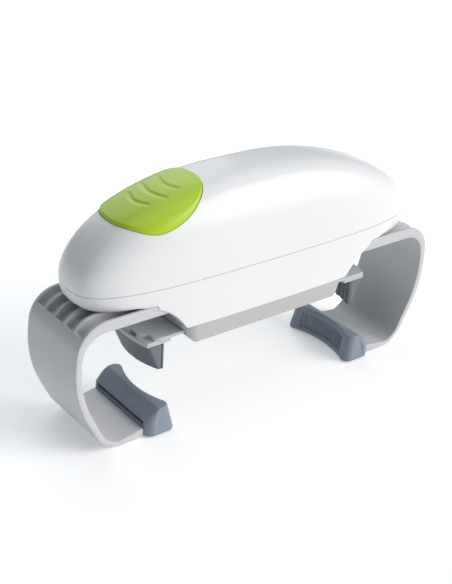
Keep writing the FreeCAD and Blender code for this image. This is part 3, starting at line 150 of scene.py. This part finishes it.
finishes = {
    "white_shell": mouldedPlastic("glossWhite", (0.78, 0.78, 0.78), (0.76, 0.765, 0.77), 0.34, 700, 0.004, 0.25),
    "green_button": mouldedPlastic("limeSatin", (0.43, 0.62, 0.02), (0.39, 0.575, 0.015), 0.34, 1500, 0.01, 0.15),
    "arm_plastic": mouldedPlastic("paleGreySatin", (0.56, 0.56, 0.57), (0.53, 0.535, 0.545), 0.42, 2400, 0.02),
    "rotor_plastic": mouldedPlastic("rotorGrey", (0.48, 0.475, 0.47), (0.45, 0.445, 0.44), 0.4, 2400, 0.02),
    "jaw_plastic": mouldedPlastic("jawGrey", (0.5, 0.52, 0.53), (0.47, 0.49, 0.5), 0.38, 2400, 0.02),
    "inner_plastic": mouldedPlastic("innerBlack", (0.02, 0.02, 0.022), (0.03, 0.03, 0.03), 0.45, 2200, 0.02),
    "gear_plastic": mouldedPlastic("acetal", (0.74, 0.71, 0.62), (0.7, 0.67, 0.58), 0.35, 1500, 0.01),
    "board_resin": mouldedPlastic("boardGreen", (0.02, 0.13, 0.05), (0.03, 0.17, 0.06), 0.3, 1200, 0.01),
    "jaw_rubber": mouldedRubber("jawRubber", (0.13, 0.15, 0.17), (0.17, 0.19, 0.21)),
    "grip_rubber": mouldedRubber("gripRubber", (0.075, 0.09, 0.105), (0.11, 0.125, 0.14)),
    "pad_rubber": mouldedRubber("padRubber", (0.21, 0.25, 0.3), (0.25, 0.29, 0.34), 0.5),
    "washer_rubber": mouldedRubber("washerFibre", (0.12, 0.06, 0.03), (0.2, 0.12, 0.07)),
    "shaft_steel": drawnMetal("turnedSteel", (0.62, 0.62, 0.63), 0.3),
    "motor_steel": drawnMetal("platedSteel", (0.66, 0.66, 0.64), 0.35, (1, 9, 1)),
    "spring_metal": drawnMetal("springWire", (0.7, 0.69, 0.66), 0.25),
    "brass_part": drawnMetal("plainBrass", (0.75, 0.55, 0.22), 0.3),
    "cell_can": drawnMetal("cellSleeve", (0.16, 0.17, 0.19), 0.4, (12, 1, 1), 0.6),
}
slotOf = {entry["node"]: entry["material_slot"] for entry in frame["record"]["subparts"]}
for name, cadNode in nodes.items():
    cadNode.data.materials.clear()
    cadNode.data.materials.append(finishes[slotOf[name]].material)
print("finishes made:", len(finishes))

# shaping tools

def pick(piece):
    bpy.ops.object.select_all(action="DESELECT")
    piece.select_set(True)
    bpy.context.view_layer.objects.active = piece


def edit(piece):
    pick(piece)
    bpy.ops.object.mode_set(mode="EDIT")
    bpy.ops.mesh.select_all(action="DESELECT")


def leave():
    bpy.ops.object.mode_set(mode="OBJECT")


def choose(piece, kind, test):
    # selects the edit mesh's verts, edges or faces that pass the test
    bpy.context.tool_settings.mesh_select_mode = tuple(kind == name for name in ("verts", "edges", "faces"))
    bpy.ops.mesh.select_all(action="DESELECT")
    shape = bmesh.from_edit_mesh(piece.data)
    for item in [item for item in getattr(shape, kind) if test(item)]:
        item.select_set(True)
    shape.select_flush_mode()
    bmesh.update_edit_mesh(piece.data)


def apply(piece):
    pick(piece)
    for modifier in list(piece.modifiers):
        bpy.ops.object.modifier_apply(modifier=modifier.name)


def rimmed(piece, width, angle):
    # rounds every edge sharper than the angle, width in millimetres
    rim = piece.modifiers.new("rim", "BEVEL")
    rim.width, rim.segments = width * mm, 3
    rim.limit_method, rim.angle_limit = "ANGLE", math.radians(angle)
    rim.use_clamp_overlap = False
    apply(piece)


def smooth(piece, angle):
    pick(piece)
    bpy.ops.object.shade_smooth_by_angle(angle=math.radians(angle))


def mergedCopy(node, name):
    # a copy of a CAD node with its loose triangles joined
    piece = bpy.data.objects.new(name, nodes[node].data.copy())
    scene.collection.objects.link(piece)
    edit(piece)
    bpy.ops.mesh.select_all(action="SELECT")
    bpy.ops.mesh.remove_doubles(threshold=1e-6)
    bpy.ops.mesh.dissolve_limited(angle_limit=math.radians(0.6))
    leave()
    return piece


def stands(piece, node, body):
    # the piece takes the node's place, finish and motion
    piece.data.materials.clear()
    piece.data.materials.append(finishes[slotOf[node]].material)
    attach(piece, body)
    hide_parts(node)


def mirrorCopy(piece, name):
    # the same piece on the other side of the middle, turned right side out again
    twin = piece.copy()
    twin.data = piece.data.copy()
    twin.name = name
    scene.collection.objects.link(twin)
    edit(twin)
    bpy.ops.mesh.select_all(action="SELECT")
    bpy.ops.transform.mirror(constraint_axis=(True, False, False), orient_type="GLOBAL",
                             center_override=(0, 0, 0))
    bpy.ops.mesh.flip_normals()
    leave()
    return twin


# arms: one wide strip spun and extruded round the C, given its wall, then scooped

arm = {
    "halfWidth": 23.5, "top": 75.6, "plateInner": 62, "end": 79,
    "shoulder": (117.1, 17), "elbow": (121.4, 37.4, 65), "heel": (102.4, 17),  # places and radii
    "shoulderAngle": 48.2,  # half the angle between the plate and the outer side
    "topWall": 6, "wall": 3.8, "footWall": 2.6, "endWall": 5.4, "footHigh": 17, "footOuter": 96,
    "pockets": 5, "rib": 2, "pocketDepth": 4, "pocketStart": 66, "pocketSweep": 50,
    "rim": 0.55, "rimAngle": 38, "shadeAngle": 32, "tongueHalf": 14.5, "tongueInner": 42,
}


def cornerArc(before, corner, after, radius):
    # tangent points, centre and sweep of an arc that rounds a corner in the XZ plane
    one, two = (before - corner).normalized(), (after - corner).normalized()
    half = one.angle(two) / 2
    reach = radius / math.tan(half)
    centre = corner + (one + two).normalized() * (radius / math.sin(half))
    return corner + one * reach, corner + two * reach, centre, math.pi - 2 * half


def extrudeEdgeTo(piece, here, target):
    step = target - here
    if step.length > 1e-6:
        bpy.ops.mesh.extrude_edges_move(TRANSFORM_OT_translate={"value": step})


def buildArm():
    top, half = arm["top"] * mm, arm["halfWidth"] * mm
    spots = [Vector((arm["plateInner"] * mm, 0, top)), Vector((arm["shoulder"][0] * mm, 0, top)),
             Vector((arm["elbow"][0] * mm, 0, arm["elbow"][1] * mm)), Vector((arm["heel"][0] * mm, 0, 0)),
             Vector((arm["end"] * mm, 0, 0))]
    radii = [arm["shoulder"][1] * mm, arm["elbow"][2] * mm, arm["heel"][1] * mm]
    bpy.ops.object.select_all(action="DESELECT")
    bpy.ops.mesh.primitive_plane_add(size=2 * half, location=(0, 0, 0))
    piece = bpy.context.object
    piece.name = "rightArmForm"
    edit(piece)
    choose(piece, "verts", lambda v: v.co.x < 0)
    bpy.ops.mesh.delete(type="VERT")
    choose(piece, "edges", lambda e: True)
    bpy.ops.transform.translate(value=spots[0] - Vector((half, 0, 0)))
    here = spots[0]
    for index, radius in enumerate(radii):
        start, stop, centre, sweep = cornerArc(spots[index], spots[index + 1], spots[index + 2], radius)
        extrudeEdgeTo(piece, here, start)
        stages = [(math.radians(arm["pocketSweep"]), 10)] if index == 0 else []
        stages.append((sweep - sum(part for part, _ in stages), 8))
        for part, steps in stages:
            bpy.ops.mesh.spin(steps=steps, angle=part, center=centre, axis=(0, -1, 0))
        here = stop
    extrudeEdgeTo(piece, here, spots[-1])
    leave()
    return piece


def wallAt(point):
    # the arm's wall at a place on its outer surface, in metres
    height, reach = point.z / mm, point.x / mm
    if height > arm["top"] - arm["shoulder"][1]:
        rise = (height - arm["top"] + arm["shoulder"][1]) / arm["shoulder"][1]
        return (arm["wall"] + (arm["topWall"] - arm["wall"]) * min(1, rise)) * mm
    if height > arm["footHigh"]:
        return arm["wall"] * mm
    if reach > arm["footOuter"]:
        return (arm["footWall"] + (arm["wall"] - arm["footWall"]) * height / arm["footHigh"]) * mm
    along = (arm["footOuter"] - reach) / (arm["footOuter"] - arm["end"])
    return (arm["footWall"] + (arm["endWall"] - arm["footWall"]) * along) * mm


def scoopArm(piece):
    half, rib, count = arm["halfWidth"] * mm, arm["rib"] * mm, arm["pockets"]
    width = (2 * half - rib * (count + 1)) / count
    lows = [rib + k * (width + rib) - half for k in range(count)]
    edit(piece)
    cuts = [(0, y, 0) for low in lows for y in (low, low + width)]
    for place in cuts:
        bpy.ops.mesh.select_all(action="SELECT")
        bpy.ops.mesh.bisect(plane_co=place, plane_no=(0, 1, 0))
    bpy.ops.mesh.select_all(action="SELECT")
    bpy.ops.mesh.bisect(plane_co=(arm["pocketStart"] * mm, 0, 0), plane_no=(1, 0, 0))
    leave()
    group = piece.vertex_groups.new(name="wall")
    for vertex in piece.data.vertices:
        group.add([vertex.index], wallAt(vertex.co) / (arm["topWall"] * mm), "REPLACE")
    shell = piece.modifiers.new("wall", "SOLIDIFY")
    shell.thickness, shell.offset, shell.use_even_offset = arm["topWall"] * mm, -1, True
    shell.vertex_group = "wall"
    apply(piece)
    edit(piece)
    bpy.ops.mesh.select_all(action="SELECT")
    bpy.ops.mesh.normals_make_consistent(inside=False)
    # pockets: the outer skin between two ribs, from the plate to part way round the shoulder
    reach = arm["shoulder"][0] - arm["shoulder"][1] / math.tan(math.radians(arm["shoulderAngle"]))
    centre = Vector((reach * mm, 0, (arm["top"] - arm["shoulder"][1]) * mm))

    def inPocket(face):
        spot = face.calc_center_median()
        if not any(low < spot.y < low + width for low in lows) or face.normal.z < 0.3:
            return False
        if spot.x < centre.x:
            return spot.x > arm["pocketStart"] * mm and spot.z > arm["top"] * mm - 0.001
        away = spot - centre
        angle = math.degrees(math.atan2(away.z, away.x))
        return angle > 90 - arm["pocketSweep"] and away.length > (arm["shoulder"][1] - 1) * mm

    choose(piece, "faces", inPocket)
    bpy.ops.mesh.extrude_region_shrink_fatten(
        TRANSFORM_OT_shrink_fatten={"value": -arm["pocketDepth"] * mm, "use_even_offset": False})

    def plateEnd(face):
        spot = face.calc_center_median()
        return (face.normal.x < -0.9 and abs(spot.y) < arm["tongueHalf"] * mm
                and spot.z > (arm["top"] - arm["topWall"]) * mm and spot.x < (arm["plateInner"] + 0.5) * mm)

    # the tongue that runs into the body
    choose(piece, "faces", plateEnd)
    bpy.ops.mesh.extrude_region_move(
        TRANSFORM_OT_translate={"value": ((arm["tongueInner"] - arm["plateInner"]) * mm, 0, 0)})
    leave()
    return piece


rightArm = buildArm()
scoopArm(rightArm)
rimmed(rightArm, arm["rim"], arm["rimAngle"])
smooth(rightArm, arm["shadeAngle"])
leftArm = mirrorCopy(rightArm, "leftArmForm")
stands(rightArm, "right_arm", "right_arm")
stands(leftArm, "left_arm", "left_arm")
print("arms modelled")


# jar pads: one section drawn out along Y, hollowed towards the jar, softened and ribbed

pad = {
    "tip": 60, "hollow": 5, "lean": 3.5, "crest": 70.4, "back": 79, "backTop": 10.2, "foot": 0.3, "top": 15.9,
    "half": 27, "reach": 23, "topHalf": 25.2, "ribs": 14, "ribHalf": 18.2, "ridge": 0.5, "ribDepth": 1.1,
    "ribLow": 3, "ribHigh": 12.8, "ribFade": 1.0, "slotLow": 6.4, "slotHigh": 8.6, "slotHalf": 22,
    "slotDepth": 2.8, "cornerRadius": 4.8, "crestRadius": 2.6, "footRadius": 1.2,
    "crestDrop": 0.4, "backLean": (1, 0.5, 0.3), "rowEnd": 18, "rowStep": 3,
}


def padSection():
    # corners of the section as (x, z), round from the foot of the leaning face
    rise = pad["top"] - pad["foot"]

    def front(height):
        return pad["tip"] + pad["lean"] * (height - pad["foot"]) / rise, height

    return [front(pad["foot"]), front(pad["top"]),
            (pad["crest"], pad["top"] - pad["crestDrop"]),
            *((pad["back"] - lean, pad[height]) for lean, height in
              zip(pad["backLean"], ("backTop", "slotHigh", "slotLow"))),
            (pad["back"], pad["foot"])]


def buildPad():
    section = padSection()
    outer = [pad["half"], pad["slotHalf"]]
    rows = list(range(-pad["rowEnd"], pad["rowEnd"] + 1, pad["rowStep"]))
    stations = [-y for y in outer] + rows + outer[::-1]
    bpy.ops.object.select_all(action="DESELECT")
    bpy.ops.mesh.primitive_circle_add(vertices=len(section), fill_type="NGON", location=(0, 0, 0))
    piece = bpy.context.object
    piece.name = "rightPadForm"
    edit(piece)
    shape = bmesh.from_edit_mesh(piece.data)
    for corner, (x, z) in zip(shape.verts, section):
        corner.co = (x * mm, stations[0] * mm, z * mm)
    bmesh.update_edit_mesh(piece.data)
    bpy.ops.mesh.select_all(action="SELECT")
    for near, far in zip(stations, stations[1:]):
        bpy.ops.mesh.extrude_region_move(TRANSFORM_OT_translate={"value": (0, (far - near) * mm, 0)})
    bpy.ops.mesh.select_all(action="SELECT")
    bpy.ops.mesh.normals_make_consistent(inside=False)
    # the hollow: each row of front corners is moved back by the depth of an arc
    radius = (pad["reach"] ** 2 + pad["hollow"] ** 2) / (2 * pad["hollow"])
    frontEdge = (pad["tip"] + pad["lean"] + 0.1) * mm
    for y in stations:
        depth = math.sqrt(radius ** 2 - min(abs(y), pad["reach"]) ** 2) - radius + pad["hollow"]
        choose(piece, "verts", lambda v: abs(v.co.y - y * mm) < 1e-6 and v.co.x < frontEdge)
        bpy.ops.transform.translate(value=(depth * mm, 0, 0))
    # the slot behind the crest
    choose(piece, "faces", lambda f: f.normal.x > 0.8 and abs(f.calc_center_median().y) < pad["slotHalf"] * mm
           and pad["slotLow"] < f.calc_center_median().z / mm < pad["slotHigh"])
    bpy.ops.mesh.extrude_region_move(TRANSFORM_OT_translate={"value": (-pad["slotDepth"] * mm, 0, 0)})
    # upright corners, then the crest, then the foot
    end = pad["half"] * mm - 1e-6

    def upright(edge):
        one, two = (vertex.co for vertex in edge.verts)
        level = abs(one.z - two.z)
        return (min(abs(one.y), abs(two.y)) > end and level > 1e-3 and (
            max(one.x, two.x) < frontEdge or min(one.x, two.x) > (pad["back"] - pad["backLean"][0] - 0.1) * mm))

    choose(piece, "edges", upright)
    bpy.ops.mesh.bevel(offset=pad["cornerRadius"] * mm, segments=6, affect="EDGES")
    choose(piece, "verts", lambda v: v.co.z > (pad["backTop"] - 0.1) * mm)
    bpy.ops.transform.resize(value=(1, pad["topHalf"] / pad["half"], 1), center_override=(0, 0, 0))

    def crest(edge):
        if len(edge.link_faces) != 2 or edge.calc_face_angle(0) < math.radians(20):
            return False
        one, two = (vertex.co for vertex in edge.verts)
        return min(one.z, two.z) > (pad["backTop"] - 0.2) * mm

    choose(piece, "edges", crest)
    bpy.ops.mesh.bevel(offset=pad["crestRadius"] * mm, segments=5, affect="EDGES", clamp_overlap=True)
    choose(piece, "edges", lambda e: max(v.co.z for v in e.verts) < (pad["foot"] + 0.01) * mm
           and len(e.link_faces) == 2 and e.calc_face_angle(0) > math.radians(40))
    bpy.ops.mesh.bevel(offset=pad["footRadius"] * mm, segments=3, affect="EDGES", clamp_overlap=True)
    leave()
    return piece


# soft and moulded pieces: one closed skin with soft edges, drawn over a form

def ribPad(piece):
    # fine grooves sunk into the face between narrow ridges, faded out at their ends
    pitch = 2 * pad["ribHalf"] / pad["ribs"]

    def eased(value):
        value = min(1, max(0, value))
        return value * value * (3 - 2 * value)

    facing = [vertex.normal.x for vertex in piece.data.vertices]
    for vertex, lean in zip(piece.data.vertices, facing):
        x, y, z = vertex.co / mm
        if lean > -0.6 or abs(y) > pad["ribHalf"]:
            continue
        fade = eased(min(z - pad["ribLow"], pad["ribHigh"] - z) / pad["ribFade"])
        aside = abs((y + pad["ribHalf"]) % pitch - pitch / 2)
        groove = eased((pitch / 2 - aside) / pad["ridge"] - 0.25)
        vertex.co.x += pad["ribDepth"] * mm * fade * groove


softSkins = {  # voxel in millimetres, passes of smoothing
    "jar_pad": (0.28, 12),
    "jaw_block": (0.3, 14),
    "jaw_grip": (0.26, 3),
    "power_button": (0.42, 14),
    "lid_jaw": (0.28, 4),
    "rotor_frame": (0.5, 4),
}


def softSkin(piece, kind):
    voxel, passes = softSkins[kind]
    skin = piece.modifiers.new("skin", "REMESH")
    skin.mode, skin.voxel_size, skin.use_smooth_shade = "VOXEL", voxel * mm, True
    soft = piece.modifiers.new("soft", "SMOOTH")
    soft.factor, soft.iterations = 0.5, passes
    apply(piece)
    print("skinned", piece.name, len(piece.data.polygons))


rightPad = buildPad()
softSkin(rightPad, "jar_pad")
ribPad(rightPad)
leftPad = mirrorCopy(rightPad, "leftPadForm")
stands(rightPad, "right_jar_pad", "right_arm")
stands(leftPad, "left_jar_pad", "left_arm")

jawForms = {"jaw_block": "Block", "jaw_grip": "Liner", "lid_jaw": "Plate"}
for side in ("left", "right"):
    for kind, word in jawForms.items():
        form = mergedCopy(f"{side}_{kind}", f"{side}Jaw{word}")
        softSkin(form, kind)
        stands(form, f"{side}_{kind}", f"{side}_jaw")

for node, name, body in (("power_button", "buttonCap", "button"), ("rotor_frame", "rotorTray", "rotor")):
    form = mergedCopy(node, name)
    softSkin(form, node)
    stands(form, node, body)

# the button's spring stands on the board and rides with the housing
spring = {"travel": 1.5, "shadeAngle": 60}
coil = mergedCopy("button_spring", "springCoil")
smooth(coil, spring["shadeAngle"])
stands(coil, "button_spring", "housing")
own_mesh(coil)
print("soft and moulded pieces skinned")


# floor, light and camera

studio = {  # metres, watts
    "floorHalf": 30.0, "floorGlow": 0.27,
    "topSize": 2.0, "topPlace": (0.3, 0.1, 1.9), "topPower": 13.6,
    "keyFrom": (0.62, -0.68, 0.40), "keyAngle": 50, "keyStrength": 2.7, "keyColour": (1.0, 0.975, 0.95),
    "backSize": 1.2, "backPlace": (0.35, 1.3, 0.9), "backPower": 7.0,
    "skyStrength": 0.16, "skyColour": (0.62, 0.8, 1.0),
}

bpy.ops.object.select_all(action="DESELECT")
bpy.ops.mesh.primitive_plane_add(size=2 * studio["floorHalf"], location=(0, 0, -0.0002))
floor = bpy.context.object
floor.name = "floor"
floorFinish = Finish("paleFloor", Roughness=0.9, Specular_IOR_Level=0.1, Emission_Strength=studio["floorGlow"])
floorFinish.set(Base_Color=(0.95, 0.95, 0.95), Emission_Color=(1.0, 1.0, 1.0))
floorFinish.material.cycles.emission_sampling = "NONE"
floor.data.materials.append(floorFinish.material)

world = bpy.data.worlds.new("studioSky")
world.use_nodes = True
world.node_tree.nodes["Background"].inputs["Color"].default_value = (*studio["skyColour"], 1)
world.node_tree.nodes["Background"].inputs["Strength"].default_value = studio["skyStrength"]
scene.world = world


def softBox(name, place, aim, size, power):
    bpy.ops.object.light_add(type="AREA", location=place)
    lamp = bpy.context.object
    lamp.name = name
    lamp.rotation_euler = (Vector(aim) - Vector(place)).to_track_quat("-Z", "Y").to_euler()
    lamp.data.shape = "RECTANGLE"
    lamp.data.size, lamp.data.size_y = size, size
    lamp.data.energy = power


softBox("topBox", studio["topPlace"], (0, 0, 0), studio["topSize"], studio["topPower"])
softBox("backBox", studio["backPlace"], (0, 0, 0.08), studio["backSize"], studio["backPower"])
bpy.ops.object.light_add(type="SUN", location=(0.6, -0.7, 0.5))
key = bpy.context.object
key.name = "softKey"
key.rotation_euler = Vector(studio["keyFrom"]).to_track_quat("Z", "Y").to_euler()
key.data.energy = studio["keyStrength"]
key.data.angle = math.radians(studio["keyAngle"])
key.data.color = studio["keyColour"]

# the camera looks at the target from a turn round the object, a height and a slight roll
view = {"azimuth": -39.23, "elevation": 28.07, "roll": 3.65, "distance": 0.64387, "lens": 73.18,
        "target": (-0.01082, 0, 0.05553)}
turn, tilt, roll = (math.radians(view[key]) for key in ("azimuth", "elevation", "roll"))
back = Vector((math.sin(turn) * math.cos(tilt), -math.cos(turn) * math.cos(tilt), math.sin(tilt)))
level = Vector((math.cos(turn), math.sin(turn), 0))
upright = back.cross(level)
across = level * math.cos(roll) + upright * math.sin(roll)
upward = upright * math.cos(roll) - level * math.sin(roll)
bpy.ops.object.camera_add(location=Vector(view["target"]) + back * view["distance"])
camera = bpy.context.object
camera.rotation_euler = Matrix((across, upward, back)).transposed().to_euler()
camera.data.lens = view["lens"]
camera.data.clip_start = 0.01
scene.camera = camera
scene.view_settings.view_transform = "Standard"
print("floor, light and camera set")
